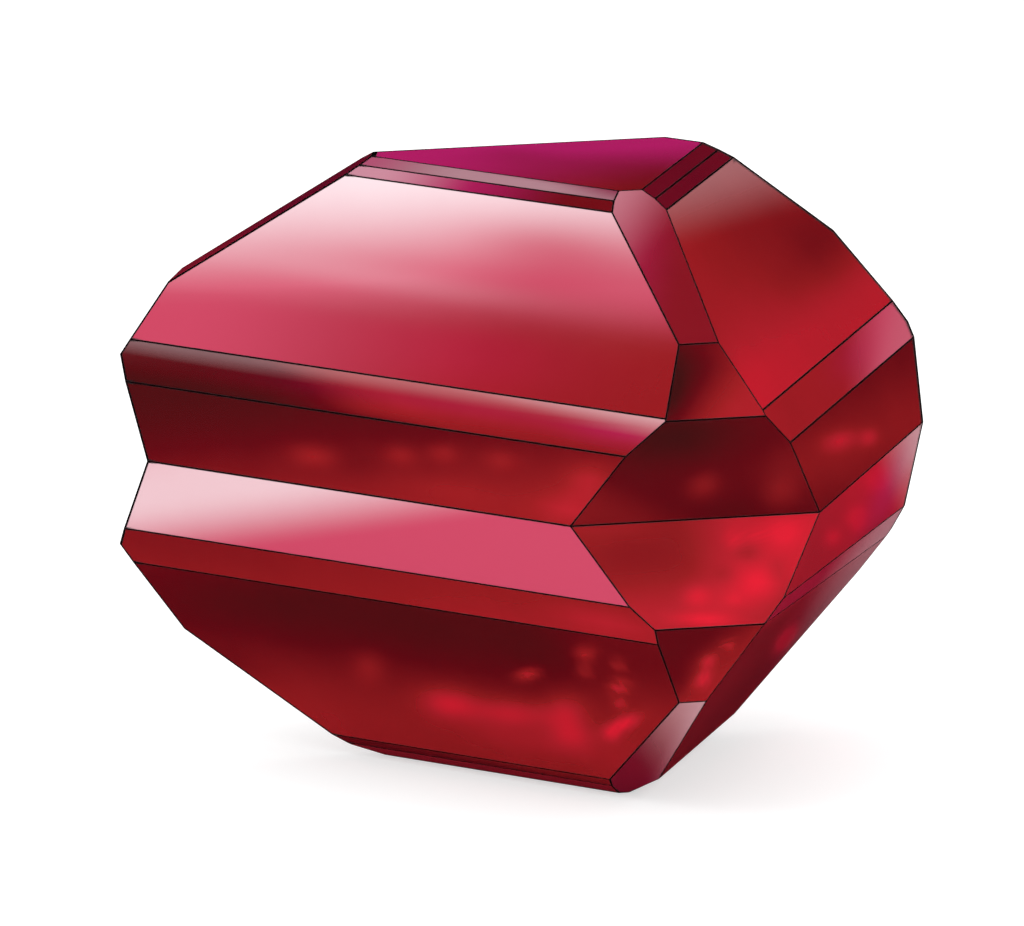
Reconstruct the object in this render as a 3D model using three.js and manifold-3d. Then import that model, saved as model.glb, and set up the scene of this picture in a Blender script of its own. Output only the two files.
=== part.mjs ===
// A cinnabar twin: two rhombohedral crystals of mercury sulphide, grown
// together on their common basal plane. The c axis is +Z. The two individuals
// are near mirror images in the twin plane. Around the axis, three sides close
// in a salient ridge on the twin plane, and the three between them open there
// in a re-entrant groove, which is the mark of this twin.
// Millimetres and degrees. The origin is on the c axis, at the lower basal
// face that the crystal rests on. -Y faces the front groove.
import * as THREE from "three";
import { mergeVertices } from "three/addons/utils/BufferGeometryUtils.js";
import Module from "manifold-3d";

// ---- Driving dimensions ----

// Distance from the c axis, on the twin plane.
const RIDGE_RADIUS = 14.15;
const GROOVE_RADIUS = 17.8;

// Each side is a flight of flat faces from the twin plane to the basal face.
// A tilt is the angle between a face's normal and the c axis: past 90 the face
// overhangs. 52.9 is cinnabar's unit rhombohedron.
const RIDGE_TILTS = [72, 57, 52.9, 33.5, 28]; // steep face, bevel, rhombohedron, two narrow strips
const GROOVE_TILTS = [114.4, 59, 30.7]; // groove wall, shoulder, corner bevel

// Heights above (or below) the twin plane at which each face gives way to the
// next. The last one is the height of the basal face.
const UPPER = {
  direction: 1,
  ridgeHeights: [3.4, 4.95, 12.6, 13.0, 13.35],
  grooveHeights: [4.3, 8.1, 13.35],
};
const LOWER = {
  direction: -1,
  ridgeHeights: [3.65, 5.25, 13.15, 13.3, 14.1],
  grooveHeights: [4.75, 8.45, 14.1],
};

// The sides round the axis, which never grow quite alike. grown is how much
// farther out a whole side stands, and upper and lower are what that
// individual's faces of the side add to it, in the order of the tilts. The two
// individuals meet on the twin plane, so each side's first two values agree.
const FRONT_LEFT = {
  azimuth: -150,
  grown: -0.3,
  upper: [0.05, 0, 0, 0, 0],
  lower: [0.05, 0, 0, 0, 0.1],
};
const FRONT_RIGHT = {
  azimuth: -30,
  grown: 0.2,
  upper: [-0.1, 0.2, 0.1, -0.1, -0.1],
  lower: [-0.1, 0, 0, 0, 0],
};
const BACK = {
  azimuth: 90,
  grown: 0,
  upper: [0, 0, -0.1, 0.2, 0.2],
  lower: [0, 0, 0, 0, 0],
};
const FRONT = {
  azimuth: -90,
  grown: 0.1,
  upper: [0.15, 0, 0.1],
  lower: [0.15, -0.1, -0.3],
};
const BACK_LEFT = {
  azimuth: 150,
  grown: 0.1,
  upper: [0, 0, 0],
  lower: [0, -0.4, 0.9],
};
const BACK_RIGHT = {
  azimuth: 30,
  grown: -0.45,
  upper: [0, -0.2, 0.1],
  lower: [0, 1, 0.1],
};
const RIDGE_SIDES = [FRONT_LEFT, FRONT_RIGHT, BACK];
const GROOVE_SIDES = [FRONT, BACK_LEFT, BACK_RIGHT];

// A few faces grew a little askew. Such a face looks so many degrees farther
// round the axis than its side (turned), and so many degrees nearer to the end
// of its individual than its tilt (raised). face is its place in the tilts.
const ASKEW = [
  { side: FRONT, direction: 1, face: 1, turned: 0, raised: 5 },
  { side: FRONT_RIGHT, direction: 1, face: 0, turned: 0, raised: -4 },
  { side: FRONT_RIGHT, direction: 1, face: 2, turned: 0, raised: 1.5 },
  { side: BACK_LEFT, direction: 1, face: 2, turned: 8, raised: -2 },
  { side: BACK_LEFT, direction: -1, face: 2, turned: 0, raised: -3.5 },
  { side: FRONT_RIGHT, direction: -1, face: 1, turned: -0.6, raised: 0 },
  { side: FRONT_RIGHT, direction: -1, face: 2, turned: -0.9, raised: 0 },
];

const BLANK = 80; // edge of the block that the faces are cut from, larger than the crystal
const CRYSTAL_RED = 0x9e1730;

// ---- Faces as planes ----

// The outward unit normal of a face with this tilt, on the side at this azimuth.
function normalOf(azimuth, tilt, direction) {
  const around = THREE.MathUtils.degToRad(azimuth);
  const fromAxis = THREE.MathUtils.degToRad(tilt);
  return new THREE.Vector3(
    Math.sin(fromAxis) * Math.cos(around),
    Math.sin(fromAxis) * Math.sin(around),
    Math.cos(fromAxis) * direction,
  );
}

// How a face of a side is skewed: not at all, unless ASKEW names it.
const skewOf = (side, direction, face) =>
  ASKEW.find(
    (one) =>
      one.side === side && one.direction === direction && one.face === face,
  ) ?? { turned: 0, raised: 0 };

// Climbs one side's profile from the twin plane and gives each face's plane. A
// raised first face swings on its edge in the twin plane, and any other skewed
// face keeps its distance from the twin's centre.
function facesOfSide(side, tilts, heights, direction, startRadius) {
  const growth = direction > 0 ? side.upper : side.lower;
  let radius = startRadius + side.grown;
  let height = 0;
  return tilts.map((tilt, i) => {
    const { turned, raised } = skewOf(side, direction, i);
    const angle = THREE.MathUtils.degToRad(i === 0 ? tilt - raised : tilt);
    const distance =
      (radius + growth[i]) * Math.sin(angle) + height * Math.cos(angle);
    radius -= (heights[i] - height) / Math.tan(THREE.MathUtils.degToRad(tilt));
    height = heights[i];
    const normal = normalOf(side.azimuth + turned, tilt - raised, direction);
    return { normal, distance };
  });
}

// The five faces of one individual on a ridge side.
const ridgeFaces = (side, { direction, ridgeHeights }) =>
  facesOfSide(side, RIDGE_TILTS, ridgeHeights, direction, RIDGE_RADIUS);

// The three faces of one individual on a groove side: wall, shoulder, bevel.
const grooveFaces = (side, { direction, grooveHeights }) =>
  facesOfSide(side, GROOVE_TILTS, grooveHeights, direction, GROOVE_RADIUS);

// The face across the c axis that ends one individual.
const basalFace = ({ direction, ridgeHeights }) => ({
  normal: new THREE.Vector3(0, 0, direction),
  distance: ridgeHeights.at(-1),
});

// ---- Cutting ----

const wasm = await Module();
wasm.setup();

// A closed three.js geometry as a solid.
function toSolid(geometry) {
  const bare = geometry.clone();
  bare.deleteAttribute("normal");
  bare.deleteAttribute("uv");
  const merged = mergeVertices(bare);
  return new wasm.Manifold(
    new wasm.Mesh({
      numProp: 3,
      vertProperties: merged.getAttribute("position").array,
      triVerts: new Uint32Array(merged.index.array),
    }),
  );
}

// A solid as a three.js geometry with flat faces.
function toGeometry(solid) {
  const mesh = solid.getMesh();
  const geometry = new THREE.BufferGeometry()
    .setAttribute("position", new THREE.BufferAttribute(mesh.vertProperties, 3))
    .setIndex(new THREE.BufferAttribute(mesh.triVerts, 1))
    .toNonIndexed();
  geometry.computeVertexNormals();
  return geometry;
}

// Cuts away all that lies outside a face.
const keepInside = (solid, { normal, distance }) =>
  solid.trimByPlane(normal.clone().negate().toArray(), -distance);

// Cuts away all that lies inside a face.
const keepOutside = (solid, { normal, distance }) =>
  solid.trimByPlane(normal.toArray(), distance);

const block = toSolid(new THREE.BoxGeometry(BLANK, BLANK, BLANK));
const individuals = [UPPER, LOWER];

// The basal faces and the ridge sides bound one convex body.
const ridgeBody = individuals
  .flatMap((one) => [
    basalFace(one),
    ...RIDGE_SIDES.flatMap((side) => ridgeFaces(side, one)),
  ])
  .reduce(keepInside, block);

// Each groove side cuts its shoulders and bevels from that body, and its two
// walls bound a wedge that is taken out.
const crystal = GROOVE_SIDES.reduce((body, side) => {
  const [above, below] = individuals.map((one) => grooveFaces(side, one));
  const [upperWall, ...upperFaces] = above;
  const [lowerWall, ...lowerFaces] = below;
  const wedge = [upperWall, lowerWall].reduce(keepOutside, block);
  return [...upperFaces, ...lowerFaces].reduce(keepInside, body).subtract(wedge);
}, ridgeBody);

// ---- Scene graph ----

const cinnabar = new THREE.Mesh(
  toGeometry(crystal),
  new THREE.MeshStandardMaterial({
    color: CRYSTAL_RED,
    roughness: 0.12,
    metalness: 0,
    flatShading: true,
  }),
);
cinnabar.name = "cinnabar_crystal";
cinnabar.position.z = basalFace(LOWER).distance; // the lower basal face lies at z = 0

const group = new THREE.Group();
group.add(cinnabar);

export default group;
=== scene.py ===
# %% [markdown]
# # A raw cinnabar crystal
# Cinnabar is mercury sulphide, a heavy deep red mineral. Its best crystals are
# twins: two individuals grown together, base to base, as near mirror images of
# each other. On three sides they close in a ridge, and at the three corners
# between those sides they open in a re-entrant groove. This lesson loads the
# plain solid of such a twin, lays a finer surface over each of its flat faces,
# paints the surface with the deep red of the stone and with painted shade, glows
# and sheens, and lights it softly.

# %% Load the fixed frame
import math

import bmesh
import bpy
import numpy as np
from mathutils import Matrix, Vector


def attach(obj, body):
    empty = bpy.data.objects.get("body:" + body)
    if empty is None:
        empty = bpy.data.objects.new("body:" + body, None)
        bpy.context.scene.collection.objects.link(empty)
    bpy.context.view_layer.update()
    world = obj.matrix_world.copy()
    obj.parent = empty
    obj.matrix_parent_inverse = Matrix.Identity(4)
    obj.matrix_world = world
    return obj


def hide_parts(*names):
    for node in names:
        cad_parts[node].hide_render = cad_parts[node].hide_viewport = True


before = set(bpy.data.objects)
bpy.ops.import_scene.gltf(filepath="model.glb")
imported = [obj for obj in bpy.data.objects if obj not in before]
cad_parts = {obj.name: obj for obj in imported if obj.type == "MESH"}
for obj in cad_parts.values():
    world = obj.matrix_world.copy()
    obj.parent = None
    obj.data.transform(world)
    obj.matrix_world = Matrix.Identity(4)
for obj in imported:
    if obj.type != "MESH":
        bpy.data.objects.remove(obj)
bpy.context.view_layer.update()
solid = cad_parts["cinnabar_crystal"]
MM = 0.001


# %% [markdown]
# ## The camera
# A long lens from a metre away keeps the crystal's parallel edges parallel, as
# in a mineral portrait. The camera looks slightly down, a little from the left
# of the front corner, and aims just beside the middle of the twin.

# %% Camera
TWIN_HEIGHT = 14.1 * MM  # the plane where the two individuals meet
AZIMUTH, ELEVATION = -18.17, 9.76  # degrees, about the crystal
DISTANCE = 1.0227  # metres
AIM_LEFT, AIM_BELOW = 2.30 * MM, 0.41 * MM  # from the twin's centre, on the screen
FOCAL_LENGTH, SENSOR_WIDTH = 799, 36  # mm
NEAREST, FARTHEST = 0.05, 20  # metres that the camera sees


def camera_axes(azimuth, elevation):
    """Towards-the-camera, screen-right and screen-up directions, from the azimuth
    about Z (0 looks along +Y) and the elevation above the horizon, in degrees."""
    a, e = math.radians(azimuth), math.radians(elevation)
    toward = Vector((math.sin(a) * math.cos(e), -math.cos(a) * math.cos(e), math.sin(e)))
    right = Vector((math.cos(a), math.sin(a), 0.0))
    return toward, right, toward.cross(right)


toward, right, up = camera_axes(AZIMUTH, ELEVATION)
aim = Vector((0, 0, TWIN_HEIGHT)) - right * AIM_LEFT - up * AIM_BELOW
lens = bpy.data.cameras.new("camera")
lens.lens, lens.sensor_width = FOCAL_LENGTH, SENSOR_WIDTH
lens.clip_start, lens.clip_end = NEAREST, FARTHEST
camera = bpy.data.objects.new("camera", lens)
bpy.context.scene.collection.objects.link(camera)
camera.location = aim + toward * DISTANCE
camera.rotation_euler = toward.to_track_quat("Z", "Y").to_euler()
bpy.context.scene.camera = camera
print("camera at", [round(v, 3) for v in camera.location])


# %% [markdown]
# ## The faces of the solid
# The solid arrives as loose triangles. A merged copy, with the triangles of one
# plane dissolved into one polygon, gives back the crystal's own faces. Each face
# is known by how far it leans from the vertical axis, by the way it looks, and
# by the individual, upper or lower, that it belongs to.

# %% Read the flat faces
SIDE_TURN = 30  # degrees: each side looks along a whole multiple of it
RIDGE_SIDES = {-150: "front left", -30: "front right", 90: "back"}
GROOVE_SIDES = {-90: "front", 150: "left", 30: "right"}
SIDES = {**RIDGE_SIDES, **GROOVE_SIDES}
RIDGE_LEANS = {"strip": 28, "band": 33.5, "rhomb": 52.9, "bevel": 57, "steep": 72}
GROOVE_LEANS = {"corner": 30.7, "shoulder": 59, "wall": 65.6}
BASE_LEAN = 5  # degrees: a face that leans less ends the crystal
SAME_POINT = 0.005 * MM
SAME_PLANE = math.radians(1)


def flat_faces(node):
    """The node's planar polygons, as an array of corner points in millimetres and a
    list of corner index loops, each going round its face anticlockwise from outside."""
    mesh = bmesh.new()
    mesh.from_mesh(node.data)
    bmesh.ops.remove_doubles(mesh, verts=mesh.verts, dist=SAME_POINT)
    bmesh.ops.dissolve_limit(mesh, angle_limit=SAME_PLANE, verts=mesh.verts, edges=mesh.edges)
    mesh.verts.index_update()
    corners = np.array([v.co for v in mesh.verts]) / MM
    loops = [np.array([v.index for v in face.verts]) for face in mesh.faces]
    mesh.free()
    return corners, loops


def newell_normal(points):
    """Unit normal of a polygon: the sum of the cross products of neighbouring corners,
    divided by its length."""
    n = np.cross(points, np.roll(points, -1, 0)).sum(0)
    return n / np.linalg.norm(n)


def face_name(points):
    """(individual, kind, side) of a face, from its normal and its height."""
    n = newell_normal(points)
    half = "upper" if points[:, 2].mean() > TWIN_HEIGHT / MM else "lower"
    lean = math.degrees(math.acos(min(1.0, abs(n[2]))))
    if lean < BASE_LEAN:
        return half, "base", "all"
    azimuth = math.degrees(math.atan2(n[1], n[0]))
    side = SIDES[round(azimuth / SIDE_TURN) * SIDE_TURN]
    leans = RIDGE_LEANS if side in RIDGE_SIDES.values() else GROOVE_LEANS
    return half, min(leans, key=lambda kind: abs(leans[kind] - lean)), side


corners, loops = flat_faces(solid)
names = [face_name(corners[loop]) for loop in loops]
print(len(loops), "faces with", len(corners), "corners")


# %% [markdown]
# ## A finer surface for each face
# Grown faces aren't dead flat: each one swells by a hair in its middle, and slow
# growth waves cross it, so that a reflection slides over it instead of switching
# on and off. Each face becomes a grid with one parameter round its outline and
# one from the outline to its centre. The first rings hug the outline and carry
# the thin dark line that a sharp edge shows, drawn heavier where the faces on
# show meet those behind. Neighbours put the same points on the outline between
# them, and points that agree to a micrometre are welded.

# %% Dark lines at the edges
LINE, LINE_FADE = 0.03, 0.03  # mm of dark line on each face at an edge, and of its fade
# mm of dark line where a face on show meets one behind, by its side, or its kind and side
OUTER_LINE = {
    "front left": 0.10,
    "front": 0.10,
    "front right": 0.16,
    ("bevel", "front right"): 0.25,
    ("steep", "front right"): 0.25,
    "all": 0.20,
}
SHOWN_SIDES = ("front left", "front", "front right")


def edge_pairs(loop):
    """The edges of a face, each as (corner, next corner)."""
    return list(zip(loop.tolist(), np.roll(loop, -1).tolist()))


def on_show(name):
    """Whether a face belongs to the front or the top of the crystal."""
    half, kind, side = name
    return half == "upper" if kind == "base" else side in SHOWN_SIDES


def line_widths(name, loop):
    """The width of the dark line at each edge of a face, after the face across the
    edge, which goes along the edge the other way."""
    kind, side = name[1:]
    heavy = OUTER_LINE.get((kind, side), OUTER_LINE.get(side, LINE))
    neighbours = [owner.get((b, a), name) for a, b in edge_pairs(loop)]
    outer = [on_show(name) and not on_show(other) for other in neighbours]
    return np.where(outer, heavy, LINE)


owner = {pair: name for name, loop in zip(names, loops) for pair in edge_pairs(loop)}
edge_lines = [line_widths(name, loop) for name, loop in zip(names, loops)]
print(sum(int((widths > LINE).sum()) for widths in edge_lines), "heavy edge lines")

# %% Face grids
STEP = 0.66  # mm between points along an edge
RIM_INSETS = (0.0, 0.03, 0.06, 0.10, 0.13, 0.20, 0.23, 0.30, 0.33)  # mm from the edge
RIM_MARGIN = 1.1 * LINE_FADE  # mm past the widest line that the rim rings go on for
RIM_SHARE = 0.6  # of the way to the middle, the most that the rim rings may take up
SLIVER = 0.008  # mm that keeps rings apart at an edge whose line is done
RING_STEP = 0.48  # mm between rings further in
FEWEST_RINGS, MOST_RINGS = 4, 40
SWELL = 0.016  # height of the swell, as a share of the face's inner radius
SWELL_EDGE = 0.9  # how far in the swell is nearly full, as a share of that radius
WAVES = (((1.1, 0.5, 0.9), 0.0), ((-0.5, 1.3, 1.7), 2.0))  # radians per mm, phase
WAVE_HEIGHT = 0.006  # mm
WAVE_RADIUS = 4  # mm of inner radius from which a face carries its waves in full
LEVEL = 0.999  # the least z of a level face's normal


def outline(corner_points):
    """The points of a closed outline, about STEP apart: for each one the index of its
    edge and the share of that edge before it. The steps along an edge are even, so
    both faces at it get the same points."""
    following = np.roll(corner_points, -1, 0)
    lengths = np.linalg.norm(following - corner_points, axis=1)
    counts = np.maximum(1, np.round(lengths / STEP)).astype(int)
    edge = np.repeat(np.arange(len(corner_points)), counts)
    share = np.concatenate([np.arange(c) / c for c in counts])[:, None]
    return edge, share


def face_rings(corners_2d, inward, edge, share, widths):
    """One face in its own plane, as rings of points and a centre. In a rim ring each
    edge of the outline is moved in by its own inset, and an inner ring is the last rim
    ring shrunk towards the centre. An edge's insets stop where its dark line does,
    apart from a sliver per ring. A corner between edges with inward normals a and b
    that move in by da and db moves by the m with m.a = da and m.b = db:
    m = (da (a - (a.b) b) + db (b - (a.b) a)) / (1 - (a.b)^2)."""
    before = np.roll(inward, 1, 0)
    turn = (before * inward).sum(1)[:, None]
    depth = ((corners_2d.mean(0) - corners_2d) * inward).sum(1).min()
    rim = [inset for inset in RIM_INSETS if inset < widths.max() + RIM_MARGIN]
    limits = depth * np.linspace(0, RIM_SHARE, len(rim))
    rings = []
    for k, deepest in enumerate(np.minimum(rim, limits)):
        own = np.minimum(deepest, widths + LINE_FADE + SLIVER * k)[:, None]
        moved = np.roll(own, 1, 0) * (before - turn * inward) + own * (inward - turn * before)
        moved = corners_2d + moved / (1 - turn**2)
        rings.append(moved[edge] * (1 - share) + np.roll(moved, -1, 0)[edge] * share)
    innermost = rings[-1]
    centre = (corners_2d.mean(0) + innermost.mean(0)) / 2
    reach = np.linalg.norm(innermost - centre, axis=1).max()
    count = int(np.clip(round(reach / RING_STEP), FEWEST_RINGS, MOST_RINGS))
    for k in range(1, count):
        rings.append(centre + (innermost - centre) * (1 - k / count))
    return rings, centre


def face_grid(points, widths):
    """The rings of one face, set in space with their relief. The height over the plane
    is the swell, which goes with the product over all edges of
    tanh(distance to the edge / (SWELL_EDGE * inner radius)), plus the waves, which
    fade at the edges in the same way. The face that the crystal stands on is flat."""
    normal = newell_normal(points)
    level = abs(normal[2]) > LEVEL
    along = np.array((1.0, 0, 0)) if level else np.cross((0, 0, 1), normal)
    along /= np.linalg.norm(along)
    rise = np.cross(normal, along)
    corners_2d = np.stack([points @ along, points @ rise], 1)
    edges = np.roll(corners_2d, -1, 0) - corners_2d
    inward = np.stack([-edges[:, 1], edges[:, 0]], 1) / np.linalg.norm(edges, axis=1)[:, None]
    edge, share = outline(points)
    rings, centre = face_rings(corners_2d, inward, edge, share, widths)
    points_2d = np.concatenate([*rings, centre[None]])
    distance = ((points_2d[:, None] - corners_2d[None]) * inward[None]).sum(2).clip(0)
    radius = distance.min(1).max()
    fade = np.tanh(distance / (SWELL_EDGE * radius)).prod(1)
    place = points_2d[:, :1] * along + points_2d[:, 1:] * rise + normal * (points[0] @ normal)
    wave = sum(np.sin(place @ number + phase) for number, phase in WAVES)
    height = SWELL * radius * fade / fade.max()
    height += WAVE_HEIGHT * min(1.0, radius / WAVE_RADIUS) * fade * wave
    if level and points[0, 2] < TWIN_HEIGHT / MM:
        height *= 0
    low, high = corners_2d.min(0), corners_2d.max(0)
    shares = (points_2d - low) / (high - low)
    return {
        "place": place + normal * height[:, None],
        "rings": len(rings),
        "round": len(edge),
        "across": shares[:, 0],
        "rise": shares[:, 1],
        "line": ((widths + LINE_FADE - distance) / LINE_FADE).clip(0, 1).max(1),
        "normal": normal,
    }


def grid_faces(rings, around):
    """Quads between neighbouring rings, and a fan of triangles round the centre point."""
    here = np.arange(around)
    after = (here + 1) % around
    ring = np.arange(rings - 1)[:, None] * around
    quads = np.stack([ring + here, ring + after, ring + around + after, ring + around + here], -1)
    last = (rings - 1) * around
    fan = np.stack([last + here, last + after, np.full(around, rings * around)], -1)
    return quads.reshape(-1, 4), fan


grids = [face_grid(corners[loop], widths) for loop, widths in zip(loops, edge_lines)]
print("largest swell", round(max(np.ptp(g["place"] @ g["normal"]) for g in grids), 3), "mm")


# %% [markdown]
# ## Painting the faces
# Light that enters cinnabar comes back deep red, and it comes back unevenly. The
# tone channel gives that depth of red, with painted shade, black red where the eye
# looks into the depth, and painted glow, scarlet where a flaw or a thin edge would
# throw light out again. Over that lie a painted pink sheen and a painted pale sheen,
# which stand for reflections, and a plum cast near the ends. So each face is painted
# in four channels, tone, pink sheen, pale sheen and plum, with three brushes: a flat
# coat, a wash that fades across the face, and a soft spot. Places on a face are given
# as across and rise, each from 0 to 1.

# %% Three brushes
def smooth(t):
    """Rises from 0 to 1 as t does, level at both ends: 3 t^2 - 2 t^3."""
    t = np.clip(t, 0, 1)
    return t * t * (3 - 2 * t)


def flat(channel, amount):
    """The same amount all over the face."""
    return channel, lambda across, rise: amount + 0 * across


def wash(channel, amount, full, gone):
    """The amount up to the point full, nothing beyond the point gone, and a smooth
    fade between them: amount * (1 - smooth(share of the way from full to gone))."""
    way = np.subtract(gone, full)
    way = way / (way @ way)
    return channel, lambda across, rise: amount * (
        1 - smooth((across - full[0]) * way[0] + (rise - full[1]) * way[1])
    )


def spot(channel, amount, middle, size, lean=0.0):
    """A soft mark: amount * exp(-((across - a - lean * (rise - r)) / width)^2
    - ((rise - r) / height)^2). With a lean, its top is pushed along the face."""
    return channel, lambda across, rise: amount * np.exp(
        -(((across - middle[0] - lean * (rise - middle[1])) / size[0]) ** 2)
        - ((rise - middle[1]) / size[1]) ** 2
    )


# %% The upper individual, from its end down to the groove
# Each face's tone is partly the stone's own depth of red and partly painted shade, with painted
# glows and glints where it is bright; the pink and pale strokes are painted sheens that stand for
# reflections.
UPPER = {
    ("base", "all"): [
        flat("depth_shade_glow", 0.36),
        wash("plum", 1.00, (0.20, 1.00), (0.75, 0.10)),
        wash("plum", 0.45, (0.95, 0.80), (0.60, 0.40)),
        spot("plum", -0.25, (0.40, 0.85), (0.12, 0.25)),
        spot("depth_shade_glow", 0.09, (0.42, 0.15), (0.14, 0.25)),
        spot("depth_shade_glow", -0.14, (0.42, 1.00), (0.16, 0.10)),
    ],
    ("strip", "front left"): [
        flat("depth_shade_glow", 0.14),
        flat("plum", 0.26),
        wash("plum", 0.30, (0.00, 0.50), (0.30, 0.50)),
        flat("pale_sheen", 0.27),
        wash("pale_sheen", -0.18, (0.00, 0.50), (0.40, 0.50)),
        wash("pale_sheen", -0.10, (1.00, 0.50), (0.70, 0.50)),
        wash("pale_sheen", -0.14, (1.00, 1.00), (0.65, 0.60)),
    ],
    ("strip", "front right"): [flat("depth_shade_glow", 0.24), flat("plum", 0.05)],
    ("band", "front left"): [
        flat("depth_shade_glow", 0.27),
        wash("plum", 0.60, (0.35, 0.50), (0.85, 0.50)),
        wash("pale_sheen", 0.31, (0.10, 0.50), (0.48, 0.50)),
    ],
    ("band", "front right"): [flat("depth_shade_glow", 0.24), flat("plum", 0.05)],
    # painted sheen: pink washes and a pale wash from the top left stand for reflections on this
    # face
    ("rhomb", "front left"): [
        flat("depth_shade_glow", 0.51),
        spot("depth_shade_glow", 0.10, (0.58, 0.15), (0.20, 0.32)),
        spot("plum", 0.11, (0.60, 0.20), (0.22, 0.26)),
        wash("pink_sheen", 0.88, (0.05, 0.10), (0.70, 0.10)),
        wash("pink_sheen", 0.82, (0.90, 0.64), (0.93, 0.33)),
        wash("pale_sheen", 0.92, (0.17, 1.00), (0.47, 0.45)),
        wash("pale_sheen", 0.06, (0.40, 0.80), (0.60, 0.40)),
        spot("pale_sheen", 0.13, (0.40, 0.49), (0.28, 0.08)),
        spot("pale_sheen", 0.03, (0.28, 0.35), (0.35, 0.07)),
        spot("pale_sheen", -0.15, (0.64, 0.81), (0.15, 0.12)),
        spot("pale_sheen", 0.05, (0.84, 0.80), (0.12, 0.30)),
    ],
    # a painted shade runs diagonally across the right middle of this face, and a pale painted
    # sheen lies at its top
    ("rhomb", "front right"): [
        flat("depth_shade_glow", 0.54),
        wash("depth_shade_glow", 0.22, (0.50, 0.12), (0.50, 0.45)),
        wash("depth_shade_glow", 0.06, (0.10, 0.50), (0.50, 0.50)),
        spot("depth_shade_glow", 0.07, (0.28, 0.40), (0.22, 0.13)),
        spot("depth_shade_glow", -0.21, (0.90, 0.45), (0.28, 0.22)),
        spot("depth_shade_glow", -0.07, (0.60, 0.70), (0.25, 0.15)),
        wash("pale_sheen", 0.19, (0.70, 1.00), (0.60, 0.68)),
    ],
    ("bevel", "front left"): [
        flat("depth_shade_glow", 0.55),
        wash("depth_shade_glow", -0.38, (0.31, 0.50), (0.53, 0.55)),
        wash("depth_shade_glow", -0.13, (0.20, 0.00), (0.30, 0.50)),
        spot("depth_shade_glow", 0.20, (0.46, 0.15), (0.10, 0.25)),
        wash("depth_shade_glow", 0.10, (0.90, 1.00), (0.60, 0.60)),
        wash("pale_sheen", 0.15, (0.50, 1.00), (0.50, 0.58)),
        wash("pale_sheen", 0.25, (1.00, 1.00), (0.70, 0.76)),
        spot("plum", 0.15, (0.65, 0.60), (0.28, 0.25)),
        spot("plum", 0.30, (0.94, 0.52), (0.10, 0.24)),
    ],
    ("bevel", "front right"): [
        flat("depth_shade_glow", 0.61),
        wash("pink_sheen", 0.97, (0.88, 0.50), (0.50, 0.56)),
        wash("pale_sheen", 0.07, (1.00, 0.30), (0.65, 0.40)),
        spot("plum", 0.13, (0.62, 0.60), (0.15, 0.45)),
    ],
    ("steep", "front left"): [
        flat("depth_shade_glow", 0.08),
        wash("depth_shade_glow", 0.44, (0.95, 0.10), (0.00, 0.80)),
        spot("depth_shade_glow", 0.22, (0.40, 0.40), (0.045, 0.14)),
        spot("depth_shade_glow", -0.06, (0.49, 0.35), (0.050, 0.20)),
        spot("depth_shade_glow", 0.18, (0.57, 0.58), (0.030, 0.12)),
        spot("depth_shade_glow", 0.18, (0.65, 0.69), (0.028, 0.12)),
        spot("depth_shade_glow", 0.15, (0.765, 0.72), (0.032, 0.12)),
        spot("depth_shade_glow", 0.07, (0.68, 0.22), (0.100, 0.16)),
        spot("depth_shade_glow", 0.24, (0.94, 0.62), (0.045, 0.22)),
        spot("depth_shade_glow", 0.20, (0.92, 0.22), (0.070, 0.20)),
    ],
    ("steep", "front right"): [
        flat("depth_shade_glow", 0.50),
        wash("depth_shade_glow", -0.22, (0.90, 1.00), (0.50, 0.30)),
        wash("depth_shade_glow", -0.19, (0.00, 0.00), (0.35, 0.45)),
        spot("depth_shade_glow", 0.33, (0.32, 0.58), (0.095, 0.17), lean=-0.5),
        spot("depth_shade_glow", 0.28, (0.52, 0.34), (0.060, 0.12), lean=-0.2),
    ],
    ("corner", "front"): [
        flat("depth_shade_glow", 0.38),
        flat("plum", 0.03),
        wash("depth_shade_glow", 0.14, (0.10, 1.00), (0.50, 0.35)),
        wash("plum", 0.30, (0.20, 1.00), (0.60, 0.30)),
        wash("pale_sheen", 0.23, (0.10, 1.05), (0.25, 0.52)),
    ],
    ("corner", "left"): [
        flat("depth_shade_glow", 0.23),
        flat("plum", 0.11),
        wash("depth_shade_glow", 0.20, (0.50, 0.00), (0.50, 0.70)),
    ],
    ("shoulder", "front"): [
        flat("depth_shade_glow", 0.62),
        wash("depth_shade_glow", -0.66, (0.05, 0.60), (0.75, 0.10)),
        spot("depth_shade_glow", -0.11, (0.08, 0.35), (0.20, 0.28)),
        spot("depth_shade_glow", 0.22, (0.50, 1.00), (0.36, 0.24)),
    ],
    ("wall", "front"): [
        flat("depth_shade_glow", 0.22),
        spot("depth_shade_glow", -0.22, (0.35, 0.85), (0.28, 0.28)),
        wash("depth_shade_glow", 0.18, (0.05, 0.20), (0.27, 0.38)),
        spot("depth_shade_glow", 0.11, (0.88, 0.50), (0.15, 0.22)),
        spot("depth_shade_glow", 0.20, (0.83, 0.23), (0.07, 0.17)),
        spot("depth_shade_glow", 0.22, (0.51, 0.34), (0.06, 0.13)),
        spot("depth_shade_glow", -0.05, (0.66, 0.05), (0.16, 0.12)),
    ],
}
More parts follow.
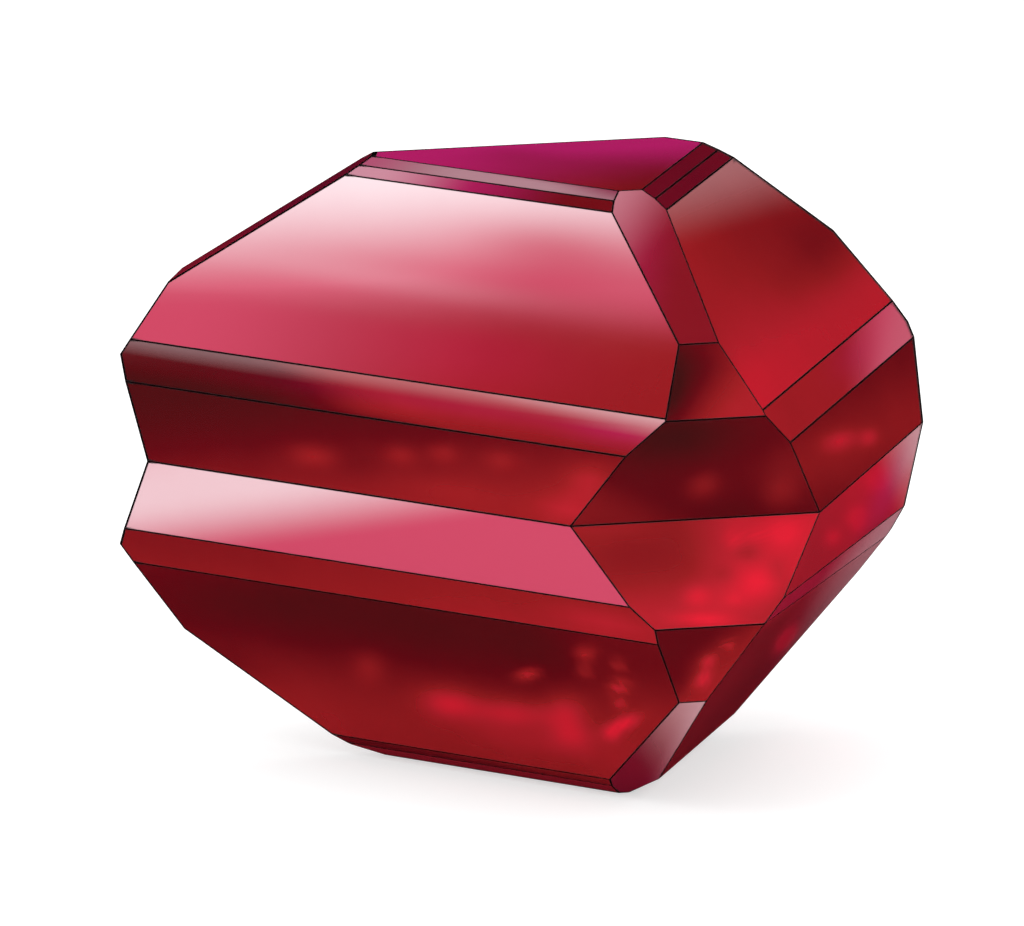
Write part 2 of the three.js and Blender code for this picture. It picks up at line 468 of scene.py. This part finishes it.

# %% The lower individual, from the groove down to its end
# The lower faces are painted the same way: tone as depth of red and painted shade, with painted
# glows and glints, and pink and pale strokes as painted reflections.
LOWER = {
    ("wall", "front"): [
        flat("depth_shade_glow", 0.50),
        wash("depth_shade_glow", 0.20, (0.50, 0.10), (0.50, 0.60)),
        wash("depth_shade_glow", 0.32, (0.70, 0.50), (0.38, 0.50)),
        spot("depth_shade_glow", 0.20, (0.84, 0.83), (0.065, 0.13)),
        spot("depth_shade_glow", -0.05, (0.25, 0.68), (0.20, 0.15)),
        spot("depth_shade_glow", -0.08, (0.66, 0.70), (0.06, 0.08)),
        spot("depth_shade_glow", -0.37, (0.74, 0.07), (0.17, 0.20)),
        spot("depth_shade_glow", -0.30, (0.86, 0.24), (0.07, 0.16)),
        spot("depth_shade_glow", 0.07, (0.71, 0.37), (0.070, 0.12), lean=0.2),
        spot("depth_shade_glow", 0.10, (0.61, 0.24), (0.040, 0.05)),
        spot("depth_shade_glow", 0.16, (0.465, 0.30), (0.050, 0.10)),
        spot("depth_shade_glow", 0.20, (0.45, 0.09), (0.100, 0.06), lean=-0.5),
        spot("depth_shade_glow", 0.17, (0.64, 0.78), (0.032, 0.10)),
        spot("depth_shade_glow", 0.12, (0.73, 0.82), (0.025, 0.06)),
        spot("depth_shade_glow", -0.15, (0.69, 0.66), (0.050, 0.07)),
        spot("depth_shade_glow", -0.10, (0.58, 0.48), (0.040, 0.08)),
        spot("depth_shade_glow", -0.12, (0.80, 0.49), (0.036, 0.10)),
        spot("depth_shade_glow", 0.11, (0.15, 1.00), (0.25, 0.13)),
        spot("depth_shade_glow", 0.06, (0.90, 0.88), (0.10, 0.12)),
        spot("depth_shade_glow", 0.08, (0.45, 0.28), (0.06, 0.10)),
        spot("depth_shade_glow", 0.08, (0.71, 0.42), (0.05, 0.10)),
        spot("depth_shade_glow", 0.10, (0.50, 0.06), (0.08, 0.06)),
    ],
    ("shoulder", "front"): [
        flat("depth_shade_glow", 0.20),
        wash("depth_shade_glow", 0.38, (0.85, 0.30), (0.28, 0.75)),
        spot("depth_shade_glow", -0.12, (0.33, 0.22), (0.10, 0.22)),
        spot("depth_shade_glow", 0.42, (0.55, 0.55), (0.080, 0.11), lean=0.1),
        spot("depth_shade_glow", 0.42, (0.54, 0.31), (0.075, 0.11), lean=0.1),
        spot("depth_shade_glow", 0.34, (0.70, 0.75), (0.055, 0.08), lean=-0.2),
    ],
    ("corner", "front"): [
        flat("depth_shade_glow", 0.32),
        flat("plum", 0.09),
        wash("plum", 0.12, (1.00, 0.80), (0.40, 0.60)),
        wash("depth_shade_glow", 0.24, (0.70, 0.90), (0.40, 0.30)),
        wash("pale_sheen", 0.33, (0.75, 1.00), (0.45, 0.24)),
        wash("pale_sheen", 0.09, (0.90, 0.80), (0.50, 0.55)),
    ],
    # a painted reflection of the pale floor: pink all over, with a pale wash towards one end
    ("steep", "front left"): [
        flat("depth_shade_glow", 0.55),
        flat("pink_sheen", 1.00),
        wash("pale_sheen", 0.72, (0.22, 0.76), (0.58, 0.57)),
        spot("pale_sheen", -0.10, (0.03, 1.00), (0.10, 0.20)),
    ],
    ("steep", "front right"): [
        flat("depth_shade_glow", 0.71),
        flat("plum", 0.03),
        wash("depth_shade_glow", 0.10, (0.90, 0.90), (0.40, 0.30)),
        wash("depth_shade_glow", 0.09, (0.62, 0.55), (0.12, 0.50)),
        wash("depth_shade_glow", 0.16, (1.00, 0.60), (0.75, 0.60)),
        spot("depth_shade_glow", -0.14, (0.75, 0.00), (0.40, 0.14)),
        spot("depth_shade_glow", 0.24, (0.30, 0.49), (0.05, 0.16), lean=-0.5),
        spot("depth_shade_glow", 0.26, (0.49, 0.48), (0.07, 0.18), lean=-0.5),
        spot("depth_shade_glow", 0.24, (0.60, 0.74), (0.08, 0.20), lean=-0.5),
        spot("depth_shade_glow", 0.10, (0.56, 0.30), (0.05, 0.10), lean=-0.5),
        spot("plum", 0.42, (0.78, 0.60), (0.18, 0.50)),
        wash("pale_sheen", 0.64, (1.00, 0.95), (0.58, 0.78)),
        spot("pale_sheen", 0.10, (0.93, 0.72), (0.14, 0.26)),
    ],
    ("bevel", "front left"): [
        flat("depth_shade_glow", 0.38),
        wash("depth_shade_glow", 0.17, (1.00, 0.50), (-0.10, 0.50)),
        wash("depth_shade_glow", 0.07, (0.50, 0.00), (0.50, 1.00)),
        spot("depth_shade_glow", 0.14, (0.91, 0.45), (0.08, 0.35)),
    ],
    ("bevel", "front right"): [
        flat("depth_shade_glow", 0.80),
        flat("plum", 0.20),
        wash("depth_shade_glow", 0.24, (1.00, 0.50), (0.40, 0.50)),
        wash("plum", 0.25, (1.00, 0.50), (0.30, 0.50)),
        wash("pale_sheen", 0.46, (1.00, 0.50), (0.33, 0.50)),
    ],
    # thin bright streaks are painted glints of light thrown back from inside
    ("rhomb", "front left"): [
        flat("depth_shade_glow", 0.10),
        wash("depth_shade_glow", 0.46, (0.50, 0.10), (0.50, 0.90)),
        wash("depth_shade_glow", 0.17, (0.93, 0.50), (0.70, 0.50)),
        wash("depth_shade_glow", 0.13, (0.03, 1.00), (0.22, 0.80)),
        spot("depth_shade_glow", -0.13, (0.06, 0.38), (0.09, 0.14)),
        spot("depth_shade_glow", 0.20, (0.375, 0.53), (0.028, 0.11), lean=0.2),
        spot("depth_shade_glow", 0.42, (0.50, 0.37), (0.055, 0.11), lean=0.2),
        spot("depth_shade_glow", 0.36, (0.62, 0.37), (0.075, 0.10), lean=0.3),
        spot("depth_shade_glow", 0.36, (0.735, 0.44), (0.042, 0.13), lean=0.2),
        spot("depth_shade_glow", 0.26, (0.72, 0.28), (0.040, 0.10), lean=0.2),
        spot("depth_shade_glow", 0.10, (0.64, 0.20), (0.140, 0.10)),
        spot("depth_shade_glow", -0.13, (0.93, 0.32), (0.060, 0.12)),
        spot("depth_shade_glow", -0.12, (0.85, 0.08), (0.060, 0.20)),
        spot("depth_shade_glow", 0.52, (0.70, 0.66), (0.018, 0.05), lean=0.4),
        spot("depth_shade_glow", 0.42, (0.84, 0.86), (0.017, 0.06), lean=0.2),
        spot("depth_shade_glow", 0.32, (0.82, 0.74), (0.013, 0.04), lean=0.2),
        spot("depth_shade_glow", 0.34, (0.896, 0.82), (0.011, 0.04), lean=0.2),
        spot("depth_shade_glow", 0.52, (0.873, 0.67), (0.015, 0.05), lean=0.35),
        spot("depth_shade_glow", 0.32, (0.855, 0.555), (0.013, 0.04), lean=0.2),
        spot("depth_shade_glow", 0.55, (0.836, 0.41), (0.020, 0.08), lean=0.45),
        spot("depth_shade_glow", 0.28, (0.80, 0.32), (0.016, 0.05), lean=0.2),
    ],
    # a painted glint streaks across this face, and a pale painted sheen lies at its upper corner
    ("rhomb", "front right"): [
        flat("depth_shade_glow", 0.52),
        flat("plum", 0.05),
        wash("depth_shade_glow", 0.48, (1.00, 1.00), (0.50, 0.45)),
        wash("depth_shade_glow", 0.20, (0.50, 1.00), (0.50, 0.86)),
        wash("plum", 0.30, (0.95, 0.95), (0.35, 0.62)),
        spot("depth_shade_glow", 0.75, (0.58, 0.54), (0.075, 0.14), lean=-1.0),
        wash("pale_sheen", 0.42, (0.98, 0.90), (0.50, 0.62)),
    ],
    ("band", "front left"): [
        flat("depth_shade_glow", 0.24),
        wash("depth_shade_glow", 0.20, (1.00, 0.80), (0.20, 0.30)),
    ],
    ("strip", "front left"): [flat("depth_shade_glow", 0.45), flat("plum", 0.05)],
    ("base", "all"): [
        flat("depth_shade_glow", 0.22),
        wash("plum", 0.50, (0.20, 0.00), (0.80, 0.90)),
    ],
}

# %% Paint one face
COATS = {"upper": UPPER, "lower": LOWER}
LIKE = {"front right": "front left", "back": "front left", "left": "front", "right": "front"}
# how much of each channel there is on the sides turned from the light: less of the painted pink
# and pale sheens
COPIED_SHARE_LESS_SHEEN = {"depth_shade_glow": 1.0, "pink_sheen": 0.7, "pale_sheen": 0.6, "plum": 1.0}


def paint(name, across, rise):
    """Each channel of a face is the sum of its strokes. A face with no strokes of its own
    repeats, left for right, those of the face it is like, with less painted sheen."""
    half, kind, side = name
    share = dict.fromkeys(COPIED_SHARE_LESS_SHEEN, 1.0)
    if (kind, side) not in COATS[half]:
        side, across, share = LIKE[side], 1 - across, COPIED_SHARE_LESS_SHEEN
    channels = {channel: 0 * rise for channel in COPIED_SHARE_LESS_SHEEN}
    for channel, stroke in COATS[half][kind, side]:
        channels[channel] = channels[channel] + share[channel] * stroke(across, rise)
    return channels


# %% Join the faces into one closed mesh
CHANNELS = (*COPIED_SHARE_LESS_SHEEN, "line")
STONE, INK_LINE = 0, 1  # material slots
FULL_LINE = 0.99  # strength of the dark line at which a small face counts as covered
DECIMALS = 3  # of a millimetre, to which welded points agree
SHARP = math.radians(3.0)  # from this angle on, an edge is kept sharp


def build_crystal(name):
    """Stack the grids, weld the points that agree, as neighbours' outline points do, and
    keep the paint per corner, because at a shared outline each face has its own. The
    small faces that the dark line covers are inked, and line fades from 1 to 0 beyond
    them."""
    places, quads, fans, inked, start = [], [], [], [], 0
    paints = {channel: [] for channel in CHANNELS}
    for title, grid in zip(names, grids):
        quad, fan = grid_faces(grid["rings"], grid["round"])
        places.append(grid["place"])
        quads.append(quad + start)
        fans.append(fan + start)
        inked.append((grid["line"][quad] > FULL_LINE).all(1))
        start += len(grid["place"])
        for channel, value in paint(title, grid["across"], grid["rise"]).items():
            paints[channel].append(value)
        paints["line"].append(grid["line"])
    places, quads, fans = (np.concatenate(part) for part in (places, quads, fans))
    _, first, welded = np.unique(
        np.round(places, DECIMALS), axis=0, return_index=True, return_inverse=True
    )
    welded = welded.reshape(-1)
    mesh = bpy.data.meshes.new(name)
    mesh.from_pydata(places[first] * MM, [], welded[quads].tolist() + welded[fans].tolist())
    own = np.concatenate([quads.reshape(-1), fans.reshape(-1)])
    for channel in CHANNELS:
        layer = mesh.attributes.new(channel, "FLOAT", "CORNER")
        layer.data.foreach_set("value", np.concatenate(paints[channel])[own].astype(np.float32))
    dark = np.concatenate([*inked, np.zeros(len(fans), bool)])
    slots = np.where(dark, INK_LINE, STONE).astype(np.int32)
    mesh.polygons.foreach_set("material_index", slots)
    mesh.shade_smooth()
    mesh.set_sharp_from_angle(angle=SHARP)
    piece = bpy.data.objects.new(name, mesh)
    bpy.context.scene.collection.objects.link(piece)
    return piece


crystal = build_crystal("crystal_surface")
print(len(crystal.data.vertices), "points,", len(crystal.data.polygons), "small faces")


# %% [markdown]
# ## The stone
# Cinnabar bends light more than diamond does, so it shines like polished lacquer
# even where it is dull inside. The colour comes from the paint, with its painted shade,
# painted glows and painted sheens, broken up by fine grain and slow clouds, and the
# refractive index gives the real shine. The inked edges are a second finish, dark and
# matt, so that they stay thin black lines in any light.

# %% Colour helpers
def linear(red, green, blue):
    """A screen colour, 0 to 255, as the linear light that shaders use. With c from 0
    to 1 that is c / 12.92 up to c = 0.04045, and ((c + 0.055) / 1.055)^2.4 above."""
    c = np.array([red, green, blue]) / 255
    out = np.where(c <= 0.04045, c / 12.92, ((c + 0.055) / 1.055) ** 2.4)
    return (*out.tolist(), 1.0)


BLACK = (0, 0, 0, 1)
# colour by tone, from the dark red of the depths and of painted shade to a painted glow
SHADE_TO_GLOW_RAMP = [
    (0.00, linear(62, 15, 15)),
    (0.22, linear(98, 6, 16)),
    (0.55, linear(154, 26, 30)),
    (0.72, linear(183, 30, 42)),
    (1.00, linear(231, 28, 50)),
]
# the colours of the painted pink sheen and the painted pale sheen, both standing for reflections
PINK_SHEEN_COLOUR, PALE_SHEEN_COLOUR = linear(208, 74, 103), linear(250, 228, 233)
PLUM, INK, DEEP_INK = linear(198, 33, 112), linear(20, 6, 9), linear(12, 3, 5)


def attribute(tree, name):
    """One channel of the paint."""
    node = tree.nodes.new("ShaderNodeAttribute")
    node.attribute_name = name
    return node.outputs["Fac"]


def math_node(tree, operation, a, b):
    """The result of an operation on two sockets or numbers."""
    node = tree.nodes.new("ShaderNodeMath")
    node.operation = operation
    for socket, value in zip(node.inputs, (a, b)):
        if isinstance(value, (int, float)):
            socket.default_value = value
        else:
            tree.links.new(value, socket)
    return node.outputs[0]


def noise(tree, where, per_metre, detail):
    """Cloudy noise from -0.5 to 0.5, with so many lumps to the metre."""
    node = tree.nodes.new("ShaderNodeTexNoise")
    node.inputs["Scale"].default_value = per_metre
    node.inputs["Detail"].default_value = detail
    tree.links.new(where, node.inputs["Vector"])
    return math_node(tree, "SUBTRACT", node.outputs["Fac"], 0.5)


def ramp(tree, factor, stops):
    """A colour that runs through the stops, each (position, colour)."""
    node = tree.nodes.new("ShaderNodeValToRGB")
    elements = node.color_ramp.elements
    while len(elements) < len(stops):
        elements.new(0.5)
    for element, (position, colour) in zip(elements, stops):
        element.position = position
        element.color = colour
    tree.links.new(factor, node.inputs["Fac"])
    return node.outputs["Color"]


def mix_colour(tree, factor, a, b, blend="MIX"):
    """Colour b laid over colour a by the factor."""
    node = tree.nodes.new("ShaderNodeMix")
    node.data_type, node.blend_type = "RGBA", blend
    sockets = {s.identifier: s for s in node.inputs}
    for identifier, value in (("Factor_Float", factor), ("A_Color", a), ("B_Color", b)):
        if isinstance(value, bpy.types.NodeSocket):
            tree.links.new(value, sockets[identifier])
        else:
            sockets[identifier].default_value = value
    return [s for s in node.outputs if s.identifier == "Result_Color"][0]


# %% Cinnabar and ink
GRAIN_SCALE, CLOUD_SCALE = 900.0, 160.0  # lumps per metre
GRAIN_DETAIL, CLOUD_DETAIL, INK_DETAIL = 4.0, 3.0, 2.0  # octaves
GRAIN, CLOUD = 0.03, 0.08  # how much they change the tone
POLISH = 0.07  # roughness of the bare faces
LINE_ROUGHNESS, GRAIN_ROUGHNESS = 0.5, 1.4  # what the dark line and the grain add to it
REFRACTION = 2.9


def cinnabar_material():
    """Depth colour with painted shade and glow from tone, then the painted pink sheen, plum, the
    painted pale sheen and the line laid over it in turn.
    """
    stone = bpy.data.materials.new("cinnabar")
    stone.use_nodes = True
    tree = stone.node_tree
    shader = tree.nodes["Principled BSDF"]
    where = tree.nodes.new("ShaderNodeTexCoord").outputs["Object"]
    grain = math_node(tree, "MULTIPLY", noise(tree, where, GRAIN_SCALE, GRAIN_DETAIL), GRAIN)
    cloud = math_node(tree, "MULTIPLY", noise(tree, where, CLOUD_SCALE, CLOUD_DETAIL), CLOUD)
    uneven = math_node(tree, "ADD", grain, cloud)
    # tone: the depth of red with painted shade where it is low and painted glow where it is high
    depth_shade_glow = math_node(tree, "ADD", attribute(tree, "depth_shade_glow"), uneven)
    colour = ramp(tree, depth_shade_glow, SHADE_TO_GLOW_RAMP)
    # the painted pink sheen, standing for a reflection
    colour = mix_colour(tree, attribute(tree, "pink_sheen"), colour, PINK_SHEEN_COLOUR)
    colour = mix_colour(tree, attribute(tree, "plum"), colour, PLUM)
    patchy = math_node(tree, "ADD", uneven, 1.0)
    # the painted pale sheen, standing for a reflection, made patchy by the grain and clouds
    pale_sheen_amount = math_node(tree, "MULTIPLY", attribute(tree, "pale_sheen"), patchy)
    colour = mix_colour(tree, pale_sheen_amount, colour, PALE_SHEEN_COLOUR)
    line = attribute(tree, "line")
    colour = mix_colour(tree, line, colour, INK)
    tree.links.new(colour, shader.inputs["Base Color"])
    rough = math_node(tree, "ADD", math_node(tree, "MULTIPLY", line, LINE_ROUGHNESS), POLISH)
    pitted = math_node(tree, "MULTIPLY", grain, GRAIN_ROUGHNESS)
    tree.links.new(math_node(tree, "ADD", rough, pitted), shader.inputs["Roughness"])
    shader.inputs["IOR"].default_value = REFRACTION
    return stone


def ink_material():
    """Nearly black and matt, with a little grain in its darkness."""
    ink = bpy.data.materials.new("edge ink")
    ink.use_nodes = True
    tree = ink.node_tree
    shader = tree.nodes["Principled BSDF"]
    where = tree.nodes.new("ShaderNodeTexCoord").outputs["Object"]
    grain = noise(tree, where, GRAIN_SCALE, INK_DETAIL)
    shade = ramp(tree, grain, [(0.0, DEEP_INK), (0.5, INK)])
    tree.links.new(shade, shader.inputs["Base Color"])
    shader.inputs["Roughness"].default_value = 0.9
    shader.inputs["Specular IOR Level"].default_value = 0.05
    return ink


for finish in (cinnabar_material(), ink_material()):
    crystal.data.materials.append(finish)
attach(crystal, "root")
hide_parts("cinnabar_crystal")
print("finishes:", [m.name for m in crystal.data.materials])


# %% [markdown]
# ## Floor and light
# A plain pale floor under an even white sky gives soft light from everywhere. Glossy
# stone also needs something to mirror, so the reflections alone see a dark studio
# with a few soft lamps, placed where the faces throw the eye.

# %% Floor
FLOOR_HALF = 4.0  # metres
FLOOR_DROP = 0.02 * MM  # so that the floor and the face on it don't share a plane
FLOOR_GREY = (0.60, 0.60, 0.60, 1)
FLOOR_GLOW = 0.55  # a lit table: it softens the shadow and lights the stone from below


def floor_material():
    """Matt grey paper with a glow. From underneath it is clear, so that the floor
    doesn't hide the crystal's underside."""
    paper = bpy.data.materials.new("pale floor")
    paper.use_nodes = True
    paper.cycles.emission_sampling = "NONE"  # so wide a glow is found without aiming at it
    tree = paper.node_tree
    shader = tree.nodes["Principled BSDF"]
    shader.inputs["Base Color"].default_value = FLOOR_GREY
    shader.inputs["Roughness"].default_value = 1.0
    shader.inputs["Specular IOR Level"].default_value = 0.0
    shader.inputs["Emission Color"].default_value = (1.0, 1.0, 1.0, 1)
    shader.inputs["Emission Strength"].default_value = FLOOR_GLOW
    facing = tree.nodes.new("ShaderNodeNewGeometry")
    clear = tree.nodes.new("ShaderNodeBsdfTransparent")
    either = tree.nodes.new("ShaderNodeMixShader")
    tree.links.new(facing.outputs["Backfacing"], either.inputs["Fac"])
    tree.links.new(shader.outputs["BSDF"], either.inputs[1])
    tree.links.new(clear.outputs["BSDF"], either.inputs[2])
    tree.links.new(either.outputs["Shader"], tree.nodes["Material Output"].inputs["Surface"])
    return paper


floor_mesh = bpy.data.meshes.new("floor")
quarters = [(-1, -1), (1, -1), (1, 1), (-1, 1)]
floor_corners = [(x * FLOOR_HALF, y * FLOOR_HALF, -FLOOR_DROP) for x, y in quarters]
floor_mesh.from_pydata(floor_corners, [], [(0, 1, 2, 3)])
floor_mesh.materials.append(floor_material())
floor = bpy.data.objects.new("floor", floor_mesh)
bpy.context.scene.collection.objects.link(floor)
floor.visible_glossy = False

# %% World
SKY = (1.28, 1.28, 1.28, 1)  # what lights the stone and the floor
BACKDROP = (1.0, 1.0, 1.0, 1)  # what the camera sees
DARK_STUDIO = (0.020, 0.003, 0.005, 1)  # what the stone mirrors between the lamps
# azimuth and elevation of each soft lamp, its dark and bright edges in degrees, colour
LAMPS = [
    (-160, 52, 16, 5, (0.9, 0.7, 0.75)),
    (2, 56, 13, 5, (0.8, 0.6, 0.65)),
    (-120, 8, 12, 4, (0.5, 0.35, 0.4)),
]


def soft_lamp(tree, direction, azimuth, elevation, dark, bright, colour):
    """A round glow in the sky: full inside bright degrees of its middle, none outside dark."""
    a, e = math.radians(azimuth), math.radians(elevation)
    dot = tree.nodes.new("ShaderNodeVectorMath")
    dot.operation = "DOT_PRODUCT"
    middle = (math.cos(a) * math.cos(e), math.sin(a) * math.cos(e), math.sin(e))
    dot.inputs[1].default_value = middle
    tree.links.new(direction, dot.inputs[0])
    fall = tree.nodes.new("ShaderNodeMapRange")
    fall.interpolation_type = "SMOOTHSTEP"
    tree.links.new(dot.outputs["Value"], fall.inputs["Value"])
    fall.inputs["From Min"].default_value = math.cos(math.radians(dark))
    fall.inputs["From Max"].default_value = math.cos(math.radians(bright))
    return mix_colour(tree, fall.outputs["Result"], BLACK, (*colour, 1))


world = bpy.data.worlds.new("studio")
bpy.context.scene.world = world
world.use_nodes = True
world.cycles.sampling_method = "NONE"
sky = world.node_tree
looking = sky.nodes.new("ShaderNodeTexCoord").outputs["Generated"]
mirrored = DARK_STUDIO
for lamp in LAMPS:
    mirrored = mix_colour(sky, 1.0, mirrored, soft_lamp(sky, looking, *lamp), "ADD")
ray = sky.nodes.new("ShaderNodeLightPath")
seen = mix_colour(sky, ray.outputs["Is Camera Ray"], SKY, BACKDROP)
seen = mix_colour(sky, ray.outputs["Is Glossy Ray"], seen, mirrored)
sky.links.new(seen, sky.nodes["Background"].inputs["Color"])

# %% Key light
KEY_SIZE, KEY_POWER = 0.6, 1.5  # metres across, watts
KEY_PLACE = Vector((-0.55, -0.35, 0.75))  # metres from what it shines at
key_data = bpy.data.lights.new("key", "AREA")
key_data.shape, key_data.size, key_data.energy = "DISK", KEY_SIZE, KEY_POWER
key = bpy.data.objects.new("key", key_data)
bpy.context.scene.collection.objects.link(key)
key.location = aim + KEY_PLACE
key.rotation_euler = KEY_PLACE.to_track_quat("Z", "Y").to_euler()
key.visible_glossy = False
bpy.context.scene.view_settings.view_transform = "Standard"
